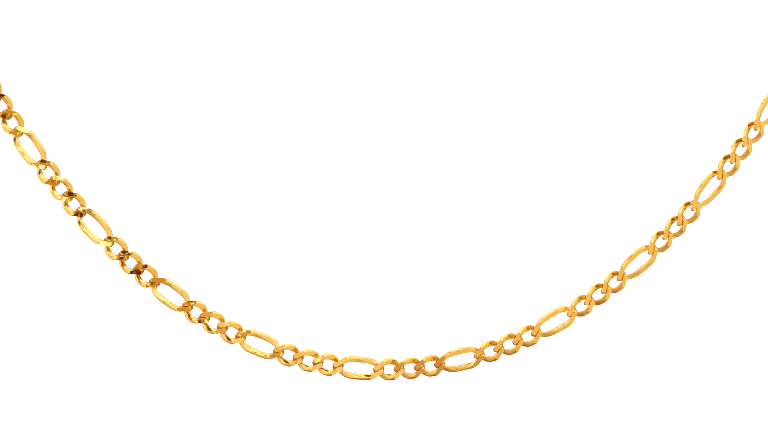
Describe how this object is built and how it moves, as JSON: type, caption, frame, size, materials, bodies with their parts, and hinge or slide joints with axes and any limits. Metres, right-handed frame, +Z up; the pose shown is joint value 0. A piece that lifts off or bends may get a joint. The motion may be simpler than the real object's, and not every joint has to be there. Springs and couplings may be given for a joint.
{
  "type": "figaro neck chain",
  "caption": "Closed neck chain of flat curb links, short ones with longer ones between, draped as worn and closed by a plain ring clasp at the nape.",
  "frame": {"origin": "the middle of the clasp's stretch at the back of the neck, where the chain lies on the nape", "axes": "+Z up, front towards -Y, +X to the right of someone who looks at the front"},
  "size_m": [0.1522, 0.1004, 0.0911],
  "materials": {
    "gold": "polished yellow gold"
  },
  "bodies": {
    "root": {"chain_left": "gold", "chain_right": "gold", "clasp": "gold"}
  },
  "joints": []
}
